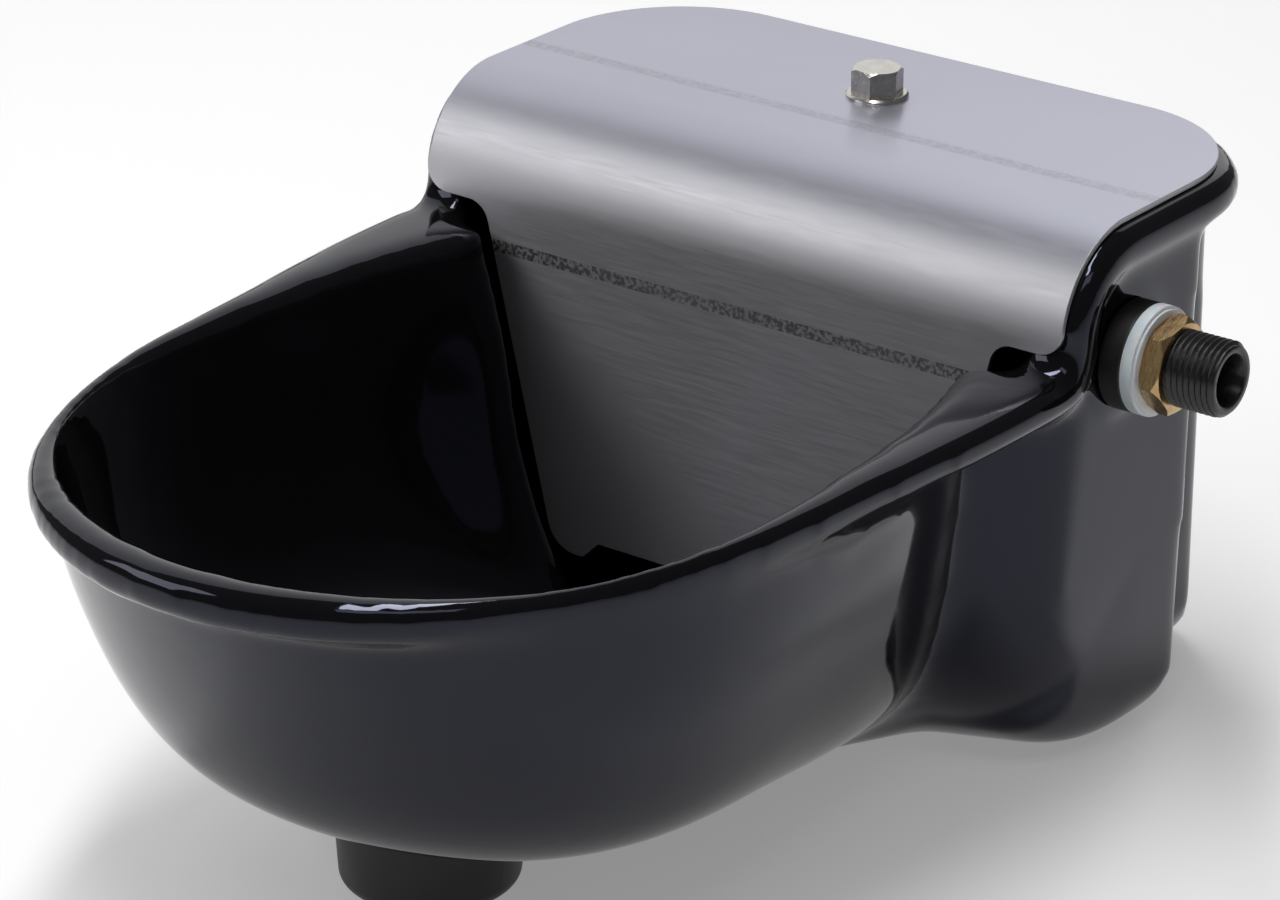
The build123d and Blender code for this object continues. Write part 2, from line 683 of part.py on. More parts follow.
def inlet_rubber_washer():
    washer = ring(WASHER_R, STUB_R + THREAD_PLAY, INLET_PAD_X, NYLON_WASHER_X)
    rims = washer.edges().filter_by(GeomType.CIRCLE).sort_by(SortBy.RADIUS)[-2:]
    return fillet(rims, WASHER_EDGE_R)


def inlet_nylon_washer():
    """Flat flange with a smaller collar on the nut's side."""
    shoulder = NYLON_WASHER_X + NYLON_FLANGE_THICKNESS
    bore_r = STUB_R + THREAD_PLAY
    return ring(WASHER_R, bore_r, NYLON_WASHER_X, shoulder) + ring(
        NYLON_COLLAR_R, bore_r, shoulder, BACKNUT_X
    )


def inlet_backnut():
    """Brass hexagon nut with both faces chamfered."""
    middle = (BACKNUT_X + BACKNUT_END_X) / 2
    hexagon = Rot(0, 90, 0) * hexagon_prism(BACKNUT_AF, BACKNUT_THICKNESS, BACKNUT_TURN)
    nut = Pos(middle, INLET_Y, INLET_Z) * hexagon
    corner = BACKNUT_AF / math.sqrt(3)
    edge = corner - BACKNUT_AF / 2
    reach = BACKNUT_THICKNESS + edge
    face_r = corner - edge * BACKNUT_BEVEL
    for side in (-1, 1):
        cone = Rot(0, 90 * side, 0) * Cone(face_r + reach, face_r, reach)
        nut &= Pos(middle + side * (BACKNUT_THICKNESS - reach) / 2, INLET_Y, INLET_Z) * cone
    return nut - disc(STUB_SHANK_R + THREAD_PLAY, BACKNUT_X - OVERCUT, BACKNUT_END_X + OVERCUT)


def inner_gasket():
    return ring(BODY_FLANGE_R, STUB_R + THREAD_PLAY, GASKET_X, INLET_INNER_X)


def threaded_stub():
    """Stub at its full size past the nut, and at its thread's root inside the nut."""
    free_x = BACKNUT_END_X + STUB_HOLE_PLAY
    stub = disc(STUB_R, free_x, STUB_END_X)
    stub = chamfer(stub.edges().sort_by(Axis.X)[-1], STUB_CHAMFER)
    return stub + disc(STUB_SHANK_R, GASKET_X - BODY_FLANGE_THICKNESS, free_x)


def lever_fork():
    """Two cheeks that carry the lever's pin, joined by the bar that the lever rests on."""
    low = PIVOT_Z - HUB_R - FORK_BELOW_HUB
    outline = FilletPolyline(
        (FORK_TIP_X, low),
        (FORK_ROOT_X, low + FORK_ROOT_RISE),
        (FORK_ROOT_X, INLET_Z + FORK_TOP_ABOVE_AXIS),
        (FORK_TIP_X, PIVOT_Z + HUB_R + FORK_ABOVE_HUB),
        radius=FORK_CORNER_RADII,
        close=True,
    )
    cheek = extrude(Plane.XZ * make_face(outline), FORK_CHEEK / 2, both=True)
    bar_top = ARM_LOW - STOP_GAP
    inner = INLET_Y - FORK_GAP_HALF
    fork = block(
        FORK_TIP_X,
        FORK_TIP_X + STOP_BAR_LENGTH,
        inner - FORK_CHEEK / 2,
        inner + 2 * FORK_GAP_HALF + FORK_CHEEK / 2,
        bar_top - STOP_BAR_HEIGHT,
        bar_top,
    )
    for side in (-1, 1):
        fork += Pos(0, INLET_Y + side * (FORK_GAP_HALF + FORK_CHEEK / 2), 0) * cheek
    return fork


def valve_body():
    """Moulded barrel with the threaded stub, the jet's wall, the outlet and the lever's fork."""
    flange_x = GASKET_X - BODY_FLANGE_THICKNESS
    body = threaded_stub() + disc(BODY_FLANGE_R, flange_x, GASKET_X)
    body += disc(BARREL_R, BARREL_END_X, flange_x + OVERCUT / 2)
    body += lever_fork()
    body -= disc(STUB_BORE_R, JET_WALL_END_X, STUB_END_X + OVERCUT)
    body -= disc(JET_NECK_R + JET_FIT, JET_WALL_X - OVERCUT, JET_WALL_END_X + OVERCUT)
    body -= disc(PISTON_R + PISTON_PLAY, FORK_TIP_X - OVERCUT, JET_WALL_X)
    body -= block(
        JET_WALL_X - OUTLET_LENGTH,
        JET_WALL_X,
        INLET_Y - OUTLET_HALF_WIDTH,
        INLET_Y + OUTLET_HALF_WIDTH,
        INLET_Z - BARREL_R - OVERCUT,
        INLET_Z,
    )
    return body - Pos(0, INLET_Y, 0) * bar(PIN_R + PIN_PLAY, PIVOT_X, PIVOT_Z, FAR)


def jet_seal():
    end = JET_WALL_END_X + JET_SEAL_THICKNESS
    return ring(STUB_BORE_R - JET_FIT, JET_NECK_R + JET_FIT, JET_WALL_END_X, end)


def valve_jet():
    """Brass jet: flange, neck through the wall, and a raised lip that the piston closes."""
    start = JET_WALL_END_X + JET_SEAL_THICKNESS
    end = start + JET_FLANGE_THICKNESS
    neck = disc(JET_NECK_R, JET_LIP_X, end)
    neck = chamfer(neck.edges().sort_by(Axis.X)[0], JET_TIP_CHAMFER)
    flange = disc(STUB_BORE_R - JET_FIT, start, end)
    return flange + neck - disc(JET_BORE_R, JET_LIP_X - OVERCUT, end + OVERCUT)


def valve_piston():
    """Piston at rest with the valve open, with a pocket for its seal."""
    front = PISTON_FRONT_X - PISTON_SEAL_THICKNESS + PISTON_SEAL_POCKET
    body = disc(PISTON_R, PISTON_BACK_X, front)
    body = chamfer(body.edges().sort_by(Axis.X)[0], PISTON_CHAMFER)
    return body - disc(PISTON_SEAL_R + THREAD_PLAY, front - PISTON_SEAL_POCKET, front + OVERCUT)


def piston_seal():
    return disc(PISTON_SEAL_R, PISTON_FRONT_X - PISTON_SEAL_THICKNESS, PISTON_FRONT_X)


def float_lever():
    """Lever: hub, upright nose that pushes the piston, and a long arm to the float's stem."""
    half = LEVER_HALF
    hub = bar(HUB_R, PIVOT_X, PIVOT_Z, 2 * half)
    nose = bar(NOSE_R, PIVOT_X, INLET_Z, 2 * half)
    finger = block(PIVOT_X - NOSE_R, PIVOT_X + NOSE_R, -half, half, PIVOT_Z, INLET_Z)
    arm = block(STEM_X, PIVOT_X, -half, half, ARM_LOW, ARM_TOP)
    for y0, y1 in ((-half, -ARM_WEB_HALF), (ARM_WEB_HALF, half)):
        arm -= block(
            STEM_X + 2 * ARM_EYE_R, FORK_TIP_X - ARM_EYE_R, y0, y1, ARM_LOW + ARM_LIP, ARM_TOP - ARM_LIP
        )
    lever = hub + nose + finger + arm + post(ARM_EYE_R, ARM_LOW, ARM_TOP, x=STEM_X)
    lever -= bar(PIN_R + PIN_PLAY, PIVOT_X, PIVOT_Z, FAR)
    lever -= post(STEM_R + STEM_HOLE_PLAY, ARM_LOW - OVERCUT, ARM_TOP + OVERCUT, x=STEM_X)
    return Pos(0, INLET_Y, 0) * lever


def pivot_pin():
    """Headed pin through the fork, grooved at its tail for the clip."""
    fork_width = 2 * (FORK_GAP_HALF + FORK_CHEEK)
    pin = Cylinder(PIN_R, fork_width + PIN_TAIL, align=(Align.CENTER, Align.CENTER, Align.MIN))
    head = Cylinder(PIN_HEAD_R, PIN_HEAD_THICKNESS, align=(Align.CENTER, Align.CENTER, Align.MAX))
    groove_width = CLIP_THICKNESS + 2 * CLIP_GROOVE_PLAY
    groove = Cylinder(PIN_HEAD_R, groove_width) - Cylinder(CLIP_GROOVE_R, groove_width)
    groove_z = fork_width + CLIP_STANDOFF + CLIP_THICKNESS / 2
    pin = pin + head - Pos(0, 0, groove_z) * groove
    return Pos(PIVOT_X, INLET_Y + fork_width / 2, PIVOT_Z) * Rot(90, 0, 0) * pin


def pin_clip():
    """Open retaining clip in the pin's groove."""
    clip = Cylinder(CLIP_R, CLIP_THICKNESS)
    clip -= Cylinder(CLIP_GROOVE_R + THREAD_PLAY, CLIP_THICKNESS)
    clip -= Pos(0, -CLIP_R, 0) * Box(CLIP_MOUTH, 2 * CLIP_R, CLIP_THICKNESS)
    y = INLET_Y - FORK_GAP_HALF - FORK_CHEEK - CLIP_STANDOFF - CLIP_THICKNESS / 2
    return Pos(PIVOT_X, y, PIVOT_Z) * Rot(90, 0, 0) * clip


def float_body():
    """Sealed float with a collar round the stem's socket."""
    plan = RectangleRounded(FLOAT_LENGTH, FLOAT_WIDTH, FLOAT_CORNER_R)
    body = extrude(Pos(STEM_X, INLET_Y, FLOAT_TOP - FLOAT_HEIGHT) * plan, FLOAT_HEIGHT)
    rounds = body.faces().sort_by(Axis.Z)
    body = fillet(rounds[0].edges() + rounds[-1].edges(), FLOAT_EDGE_R)
    body += post(FLOAT_CAP_R, FLOAT_TOP - FLOAT_EDGE_R, FLOAT_CAP_TOP, STEM_X, INLET_Y)
    foot = FLOAT_CAP_TOP - STEM_SOCKET_DEPTH
    return body - post(STEM_R + THREAD_PLAY, foot, FLOAT_CAP_TOP + OVERCUT, STEM_X, INLET_Y)


def float_stem():
    """Threaded stem that sets the float's height below the lever."""
    foot = FLOAT_CAP_TOP - STEM_SOCKET_DEPTH
    stem = post(STEM_R, foot, ARM_TOP + STEM_ABOVE_ARM, STEM_X, INLET_Y)
    return chamfer(stem.edges().filter_by(GeomType.CIRCLE), STEM_CHAMFER)


def stem_nut(low):
    nut = hexagon_prism(NUT_M6_AF, NUT_M6_HEIGHT) - Cylinder(STEM_R + THREAD_PLAY, NUT_M6_HEIGHT)
    return Pos(STEM_X, INLET_Y, low + NUT_M6_HEIGHT / 2) * nut


def stem_lock_nut():
    return stem_nut(FLOAT_CAP_TOP)


def stem_lower_nut():
    return stem_nut(ARM_LOW - NUT_M6_HEIGHT)


def stem_knob():
    """Fluted hand nut above the lever."""
    knob = fillet(post(KNOB_R, 0, KNOB_HEIGHT).edges().sort_by(Axis.Z)[-1], KNOB_EDGE_R)
    for i in range(KNOB_FLUTES):
        flute = Pos(KNOB_R + KNOB_FLUTE_OUT, 0, 0) * post(KNOB_FLUTE_R, -OVERCUT, FAR)
        knob -= Rot(0, 0, 360 * i / KNOB_FLUTES) * flute
    knob -= post(STEM_R + THREAD_PLAY, -OVERCUT, FAR)
    return Pos(STEM_X, INLET_Y, ARM_TOP) * knob


PARTS = {
    "bowl_casting": bowl_casting,
    "tank_casting": tank_casting,
    "cover_plate": cover_plate,
    "cover_bolt": cover_bolt,
    "cover_nut": cover_nut,
    "drain_plug": drain_plug,
    "inlet_rubber_washer": inlet_rubber_washer,
    "inlet_nylon_washer": inlet_nylon_washer,
    "inlet_backnut": inlet_backnut,
    "inlet_inner_gasket": inner_gasket,
    "valve_body": valve_body,
    "valve_jet": valve_jet,
    "jet_seal": jet_seal,
    "valve_piston": valve_piston,
    "piston_seal": piston_seal,
    "float_lever": float_lever,
    "pivot_pin": pivot_pin,
    "pin_clip": pin_clip,
    "float_body": float_body,
    "float_stem": float_stem,
    "stem_lock_nut": stem_lock_nut,
    "stem_lower_nut": stem_lower_nut,
    "stem_knob": stem_knob,
}

os.makedirs("parts", exist_ok=True)
for name, make in PARTS.items():
    export_step(TO_ROW * make(), "parts/" + name + ".step")
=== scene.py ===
import json
import math

import bmesh
import bpy
from mathutils import Matrix, Vector
from mathutils.bvhtree import BVHTree
from mathutils.kdtree import KDTree


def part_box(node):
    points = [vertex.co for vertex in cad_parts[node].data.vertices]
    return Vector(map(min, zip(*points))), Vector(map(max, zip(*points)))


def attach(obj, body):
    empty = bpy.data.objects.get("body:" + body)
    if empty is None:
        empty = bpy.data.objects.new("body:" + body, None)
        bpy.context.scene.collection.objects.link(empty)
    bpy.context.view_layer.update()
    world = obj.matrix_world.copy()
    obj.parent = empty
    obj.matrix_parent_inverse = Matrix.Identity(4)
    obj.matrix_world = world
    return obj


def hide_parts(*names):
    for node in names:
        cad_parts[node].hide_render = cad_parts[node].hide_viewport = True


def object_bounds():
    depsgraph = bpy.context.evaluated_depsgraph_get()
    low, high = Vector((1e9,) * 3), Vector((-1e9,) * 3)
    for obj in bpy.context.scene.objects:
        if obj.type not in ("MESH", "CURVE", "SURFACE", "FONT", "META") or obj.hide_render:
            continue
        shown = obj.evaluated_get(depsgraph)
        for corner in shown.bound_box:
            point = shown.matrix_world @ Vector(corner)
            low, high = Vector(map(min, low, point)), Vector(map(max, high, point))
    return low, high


# Livestock drinking bowl, in metres, in the row frame: +Z up, +Y into the wall, +X to the inlet.
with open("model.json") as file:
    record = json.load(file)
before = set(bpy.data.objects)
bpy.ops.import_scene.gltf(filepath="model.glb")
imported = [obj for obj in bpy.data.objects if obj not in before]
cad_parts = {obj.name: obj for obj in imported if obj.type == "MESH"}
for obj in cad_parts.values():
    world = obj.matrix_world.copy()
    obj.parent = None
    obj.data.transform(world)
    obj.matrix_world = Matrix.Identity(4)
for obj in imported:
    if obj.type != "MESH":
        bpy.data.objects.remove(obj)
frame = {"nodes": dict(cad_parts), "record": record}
CAD_LOW, CAD_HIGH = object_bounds()
NODES = frame["nodes"]
MM = 0.001
MERGE = 0.001 * MM
TOUCH = 0.01 * MM

# Camera, solved from the edges of the cover and the end of the inlet
CAMERA_AIM = Vector((-0.02879, -0.12130, -0.06287))
CAMERA_RIGHT = Vector((0.7955, 0.6059, 0.0))
CAMERA_UP = Vector((-0.2404, 0.3156, 0.9179))
CAMERA_DISTANCE = 1.45039
CAMERA_LENS = 146.25
CAMERA_SENSOR = 36.0

# Casting: one skin over both of its solids, smoothed as the enamel flows
CASTING_VOXEL = 2.15 * MM
CASTING_LAP = 0.7 * MM
CASTING_SMOOTHING = 14
SMOOTH_FACTOR = 0.5

# Inner edge of the bowl's rim, which follows half an ellipse round the nose
EDGE_SMOOTHING = 30
EDGE_DEPTH = 12 * MM
EDGE_FADE = 4 * MM
EDGE_SPREAD = 0.12
EDGE_FROM_NOSE = 13 * MM
EDGE_HALF_WIDTH = 101 * MM
BELLY_FROM_NOSE = 148 * MM

# Corners and hollows in the front of the skin
CORNER_ZONE = 18 * MM
CORNER_ANGLE = math.radians(32)
HOLLOW_ANGLE = math.radians(-10)
CORNER_REACH = 3 * MM
CORNER_FADE = 4 * MM
CORNER_SHARE = 0.5

# Tank's lower front edge, rounded from the hull's side outwards
FOOT_R_INNER = 40 * MM
FOOT_R_OUTER = 64 * MM
FOOT_SPAN = (55 * MM, 100 * MM)
FOOT_BLEND = 18 * MM
HULL_HALF_WIDTH_LOW = 44 * MM
HULL_SPREAD = 0.52

# Where the hull runs into the tank's front, and the hull's top under the rim
JOINT_SMOOTHING = 60
JOINT_REACH = 18 * MM
UNDER_RIM_Z = -15 * MM
UNDER_RIM_FADE = 5 * MM
UNDER_RIM_LENGTH = 70 * MM
HULL_TOP_INNER = 90 * MM

# Marks of the bending rolls on the cover
MARK_WIDTH = 3.6 * MM
TOP_MARK_FROM_REAR = 61.2 * MM
TOP_MARK_STRENGTH = 0.22
FRONT_MARK_FROM_TOP = 43 * MM

# Inlet thread: half-inch pipe thread on the free end of the stub
THREAD_PITCH = 1.814 * MM
THREAD_DEPTH = 1.05 * MM
THREAD_STEPS = 40
THREAD_PROFILE = (
    (0.0, "root"),
    (0.16, "root"),
    (0.42, "crest"),
    (0.66, "crest"),
    (0.92, "root"),
    (1.0, "root"),
)
MOUNTS = {m["name"]: m for m in frame["record"]["mounts"]}
STUB_CREST_R = MOUNTS["inlet_thread"]["dims"]["r_mm"] * MM
STUB_CHAMFER = 1.2 * MM
STUB_BORE_R = 7.1 * MM
STUB_LIP = 0.5 * MM
STUB_LAP = 0.3 * MM

# Angles at which the cover bolt and the inlet's nut were tightened
BOLT_TURN = -12
NUT_TURN = 30
SHARP = math.radians(28)

# Studio: a pale floor, a dim room, and softboxes whose brightness is in times that of white paper.
# Each has a name, a place, its width, its height and its brightness.
FLOOR_HALF = 8.0
FLOOR_GAP = 0.2 * MM
FLOOR_COLOUR = (0.82, 0.82, 0.82)
FLOOR_SHADE = (0.8, 0.8, 0.8)
FLOOR_LIFT = 0.26
ROOM_COLOUR = (1.0, 1.0, 1.0)
ROOM_STRENGTH = 0.1
LAMP_AIM = (0.0, -0.15, -0.02)
LAMPS = [
    ("rear_panel", (-1.35, 1.05, 1.15), 3.2, 2.4, 0.8),
    ("overhead_strip", (-0.1, -0.2, 1.4), 1.5, 0.2, 15.0),
    ("left_panel", (-1.05, -1.35, 0.9), 0.9, 0.8, 2.9),
    ("front_panel", (0.7, -1.1, 1.5), 1.0, 0.5, 1.6),
]

BOWL_LOW, BOWL_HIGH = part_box("bowl_casting")
TANK_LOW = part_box("tank_casting")[0]
COVER_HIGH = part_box("cover_plate")[1]
NUT_LOW, NUT_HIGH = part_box("inlet_backnut")
BODY_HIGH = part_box("valve_body")[1]


def clamped(value):
    """The value, kept between 0 and 1."""
    return max(0.0, min(1.0, value))


def finished(name, mesh, body, slot, *replaced):
    """Smooth shaded piece that rides on a body and stands for CAD nodes; the slot is not used."""
    piece = bpy.data.objects.new(name, mesh)
    bpy.context.scene.collection.objects.link(piece)
    mesh.shade_smooth()
    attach(piece, body)
    if replaced:
        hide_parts(*replaced)
    return piece


def mesh_from(name, bm):
    mesh = bpy.data.meshes.new(name)
    bm.to_mesh(mesh)
    bm.free()
    return mesh


def bake(piece):
    """Replaces the piece's mesh with what its modifiers make of it."""
    graph = bpy.context.evaluated_depsgraph_get()
    mesh = bpy.data.meshes.new_from_object(piece.evaluated_get(graph))
    piece.modifiers.clear()
    piece.data = mesh


def cad_copy(node):
    """The node's mesh with its loose triangles joined and its sharp edges marked."""
    bm = bmesh.new()
    bm.from_mesh(NODES[node].data)
    bmesh.ops.remove_doubles(bm, verts=bm.verts, dist=MERGE)
    for edge in bm.edges:
        edge.smooth = edge.calc_face_angle(0.0) < SHARP
    return bm


def make_camera():
    back = CAMERA_RIGHT.cross(CAMERA_UP).normalized()
    data = bpy.data.cameras.new("camera")
    data.lens = CAMERA_LENS
    data.sensor_width = CAMERA_SENSOR
    data.clip_start = 0.05
    data.clip_end = 60.0
    camera = bpy.data.objects.new("camera", data)
    turn = Matrix((CAMERA_RIGHT, CAMERA_UP, back)).transposed().to_4x4()
    camera.matrix_world = Matrix.Translation(CAMERA_AIM + back * CAMERA_DISTANCE) @ turn
    bpy.context.scene.collection.objects.link(camera)
    bpy.context.scene.camera = camera


class Recipe:
    """A material being built, with short names for the nodes that the finishes share."""

    def __init__(self, name, base, roughness, metallic=0.0, **sockets):
        self.material = bpy.data.materials.new(name)
        self.material.use_nodes = True
        self.tree = self.material.node_tree
        self.shader = self.tree.nodes["Principled BSDF"]
        self.shader.inputs["Base Color"].default_value = (*base, 1.0)
        self.shader.inputs["Roughness"].default_value = roughness
        self.shader.inputs["Metallic"].default_value = metallic
        for socket, value in sockets.items():
            self.shader.inputs[socket.replace("_", " ")].default_value = value
        self.place = self.add("ShaderNodeTexCoord").outputs["Object"]
        self.bump = None

    def add(self, kind, **settings):
        node = self.tree.nodes.new(kind)
        for key, value in settings.items():
            setattr(node, key, value)
        return node

    def link(self, source, target):
        self.tree.links.new(source, target)

    def noise(self, scale, detail=2.0, stretch=None):
        """Noise from 0 to 1 with about this many blobs in a metre, fewer along a stretched axis."""
        node = self.add("ShaderNodeTexNoise")
        node.inputs["Scale"].default_value = scale
        node.inputs["Detail"].default_value = detail
        where = self.place
        if stretch:
            mapping = self.add("ShaderNodeMapping")
            mapping.inputs["Scale"].default_value = stretch
            self.link(self.place, mapping.inputs["Vector"])
            where = mapping.outputs["Vector"]
        self.link(where, node.inputs["Vector"])
        return node.outputs["Fac"]

    def ranged(self, source, low, high, from_low=0.3, from_high=0.7):
        node = self.add("ShaderNodeMapRange")
        node.inputs["From Min"].default_value = from_low
        node.inputs["From Max"].default_value = from_high
        node.inputs["To Min"].default_value = low
        node.inputs["To Max"].default_value = high
        self.link(source, node.inputs["Value"])
        return node.outputs["Result"]

    def math(self, operation, a, b=0.0):
        node = self.add("ShaderNodeMath", operation=operation)
        for socket, value in zip(node.inputs, (a, b)):
            if isinstance(value, (int, float)):
                socket.default_value = value
            else:
                self.link(value, socket)
        return node.outputs["Value"]

    def axis(self, letter, source=None):
        node = self.add("ShaderNodeSeparateXYZ")
        self.link(source or self.place, node.inputs["Vector"])
        return node.outputs[letter]

    def near(self, value, centre, width, softness):
        """1 where value is within half the width of the centre, falling to 0 over softness."""
        away = self.math("ABSOLUTE", self.math("SUBTRACT", value, centre))
        return self.ranged(away, 1.0, 0.0, width / 2, width / 2 + softness)

    def mixed(self, amount, colour_a, colour_b):
        """Blends two colours, which a Mix node takes at sockets 6 and 7 and gives at 2."""
        node = self.add("ShaderNodeMix", data_type="RGBA")
        self.link(amount, node.inputs[0])
        for socket, value in ((node.inputs[6], colour_a), (node.inputs[7], colour_b)):
            if isinstance(value, tuple):
                socket.default_value = (*value, 1.0)
            else:
                self.link(value, socket)
        return node.outputs[2]

    def colour(self, source):
        self.link(source, self.shader.inputs["Base Color"])

    def roughness(self, source):
        self.link(source, self.shader.inputs["Roughness"])

    def raise_by(self, height, distance, strength=1.0):
        """Adds a bump layer of this height in metres on top of the layers before it."""
        node = self.add("ShaderNodeBump")
        node.inputs["Distance"].default_value = distance
        node.inputs["Strength"].default_value = strength
        self.link(height, node.inputs["Height"])
        if self.bump:
            self.link(self.bump, node.inputs["Normal"])
        self.bump = node.outputs["Normal"]
        self.link(self.bump, self.shader.inputs["Normal"])

    def round_edges(self, radius):
        """Shades sharp edges as if they were rounded to this radius."""
        node = self.add("ShaderNodeBevel", samples=4)
        node.inputs["Radius"].default_value = radius
        self.bump = node.outputs["Normal"]
        self.link(self.bump, self.shader.inputs["Normal"])


def enamel():
    """Glossy vitreous enamel: deep black, flowing slightly over the casting's skin."""
    m = Recipe(
        "black_enamel",
        (0.004, 0.004, 0.0042),
        roughness=0.05,
        Specular_Tint=(0.72, 0.75, 1.0, 1.0),
        IOR=1.45,
    )
    m.colour(m.mixed(m.noise(14.0, 3.0), (0.0025, 0.0025, 0.0027), (0.0055, 0.0052, 0.0052)))
    m.roughness(m.ranged(m.noise(45.0, 3.0), 0.035, 0.07))
    m.raise_by(m.noise(32.0, 1.0), 0.12 * MM)
    m.raise_by(m.noise(420.0, 1.0), 0.003 * MM)
    return m.material


def stainless_sheet():
    """Satin rolled sheet, with fine grain and two mottled marks where the bending rolls ran, and
    its top painted bluer than its front as a painted reflection.
    """
    m = Recipe(
        "stainless_sheet",
        (0.49, 0.49, 0.54),
        roughness=0.34,
        metallic=0.9,
        Anisotropic=0.75,
        Anisotropic_Rotation=0.25,
    )
    along_rolls = m.add("ShaderNodeCombineXYZ")
    along_rolls.inputs["X"].default_value = 1.0
    m.link(along_rolls.outputs["Vector"], m.shader.inputs["Tangent"])
    m.round_edges(0.35 * MM)
    upward = m.axis("Z", m.add("ShaderNodeNewGeometry").outputs["Normal"])
    on_top = m.ranged(upward, 0.0, 1.0, 0.6, 0.9)
    on_front = m.math("SUBTRACT", 1.0, on_top)
    top_mark = m.near(m.axis("Y"), COVER_HIGH.y - TOP_MARK_FROM_REAR, MARK_WIDTH, 1.0 * MM)
    front_mark = m.near(m.axis("Z"), COVER_HIGH.z - FRONT_MARK_FROM_TOP, MARK_WIDTH, 0.2 * MM)
    faint = m.math("MULTIPLY", m.math("MULTIPLY", top_mark, on_top), TOP_MARK_STRENGTH)
    marks = m.math("ADD", faint, m.math("MULTIPLY", front_mark, on_front))
    mottle = m.ranged(m.noise(800.0, 4.0), 0.4, 1.0, 0.42, 0.56)
    patchy = m.ranged(m.noise(16.0, 2.0), 0.8, 1.0, 0.4, 0.6)
    mark = m.math("MULTIPLY", m.math("MULTIPLY", marks, mottle), patchy)
    cloud = m.ranged(m.noise(11.0, 3.0, stretch=(0.5, 1.0, 1.0)), 0.0, 1.0)
    # Painted reflection: faces turned upwards get a bluer tone than the front, standing in for cool
    # light reflected on the top.
    top_painted_cool_reflection = m.mixed(cloud, (0.465, 0.47, 0.55), (0.5, 0.505, 0.59))
    front = m.mixed(cloud, (0.47, 0.47, 0.5), (0.51, 0.51, 0.54))
    tone_with_painted_reflection = m.mixed(on_top, front, top_painted_cool_reflection)
    m.colour(m.mixed(mark, tone_with_painted_reflection, (0.06, 0.06, 0.06)))
    grain = m.noise(1500.0, 3.0, stretch=(0.05, 1.0, 1.0))
    worn = m.math("ADD", m.math("MULTIPLY", mark, 0.2), m.math("MULTIPLY", on_front, 0.1))
    m.roughness(m.math("ADD", m.ranged(grain, 0.28, 0.34), worn))
    m.raise_by(grain, 0.002 * MM)
    m.raise_by(m.noise(9.0, 1.0), 0.25 * MM)
    return m.material


def stainless_fastener():
    """Cold-formed stainless with softly rounded edges and a mottled tone."""
    m = Recipe("stainless_fastener", (0.6, 0.58, 0.55), 0.25, metallic=1.0)
    m.round_edges(0.4 * MM)
    stain = m.noise(260.0, 4.0)
    m.colour(m.mixed(m.ranged(stain, 0.0, 1.0), (0.56, 0.54, 0.5), (0.66, 0.64, 0.61)))
    m.roughness(m.ranged(m.noise(500.0, 2.0), 0.2, 0.3))
    return m.material


def stem_steel():
    """Stainless rod with a rolled M6 thread, with painted shade in its roots and painted highlights
    on its crests.
    """
    m = Recipe("stem_steel", (0.6, 0.59, 0.57), 0.28, metallic=1.0)
    turns = m.math("SINE", m.math("MULTIPLY", m.axis("Z"), 2 * math.pi / MM))
    # Painted shade and highlight: the colour runs dark in the thread's roots and light on its
    # crests.
    m.colour(m.mixed(m.ranged(turns, 0.0, 1.0, -1.0, 1.0), (0.34, 0.33, 0.32), (0.64, 0.63, 0.61)))
    m.roughness(m.ranged(m.noise(800.0), 0.22, 0.36))
    m.raise_by(turns, 0.2 * MM)
    return m.material


def rubber():
    """Matt moulded rubber with a dusty bloom."""
    m = Recipe("black_rubber", (0.02, 0.02, 0.02), 0.55)
    m.round_edges(0.5 * MM)
    bloom = m.noise(70.0, 5.0)
    m.colour(m.mixed(m.ranged(bloom, 0.0, 1.0), (0.008, 0.008, 0.008), (0.02, 0.0195, 0.019)))
    m.roughness(m.ranged(bloom, 0.36, 0.54))
    m.raise_by(m.noise(1400.0, 3.0), 0.008 * MM)
    return m.material


def nylon():
    """White nylon that lets a little light through its edge."""
    m = Recipe(
        "white_nylon",
        (0.8, 0.84, 0.88),
        roughness=0.38,
        Subsurface_Weight=0.35,
        Subsurface_Scale=0.004,
    )
    m.round_edges(0.4 * MM)
    cloud = m.ranged(m.noise(120.0, 3.0), 0.0, 1.0)
    m.colour(m.mixed(cloud, (0.7, 0.76, 0.82), (0.84, 0.88, 0.92)))
    m.roughness(m.ranged(m.noise(500.0), 0.32, 0.46))
    m.raise_by(m.noise(700.0), 0.02 * MM)
    return m.material


def brass():
    """Turned brass: fine rings across its faces and a little tarnish."""
    m = Recipe("brass", (0.5, 0.34, 0.16), 0.3, metallic=1.0)
    m.round_edges(0.3 * MM)
    tarnish = m.ranged(m.noise(180.0, 4.0), 0.0, 1.0)
    m.colour(m.mixed(tarnish, (0.4, 0.27, 0.12), (0.6, 0.42, 0.22)))
    tool_marks = m.noise(2600.0, 2.0, stretch=(1.0, 0.12, 0.12))
    m.roughness(m.ranged(tool_marks, 0.22, 0.34))
    return m.material


def moulded_plastic():
    """Black glass-filled plastic with a fine grain and a slight sheen."""
    m = Recipe("black_plastic", (0.008, 0.008, 0.0085), 0.32)
    m.round_edges(0.3 * MM)
    cloud = m.ranged(m.noise(150.0, 4.0), 0.0, 1.0)
    m.colour(m.mixed(cloud, (0.005, 0.005, 0.0055), (0.012, 0.012, 0.0125)))
    m.roughness(m.ranged(m.noise(600.0, 3.0), 0.24, 0.38))
    m.raise_by(m.noise(2200.0, 2.0), 0.006 * MM)
    return m.material


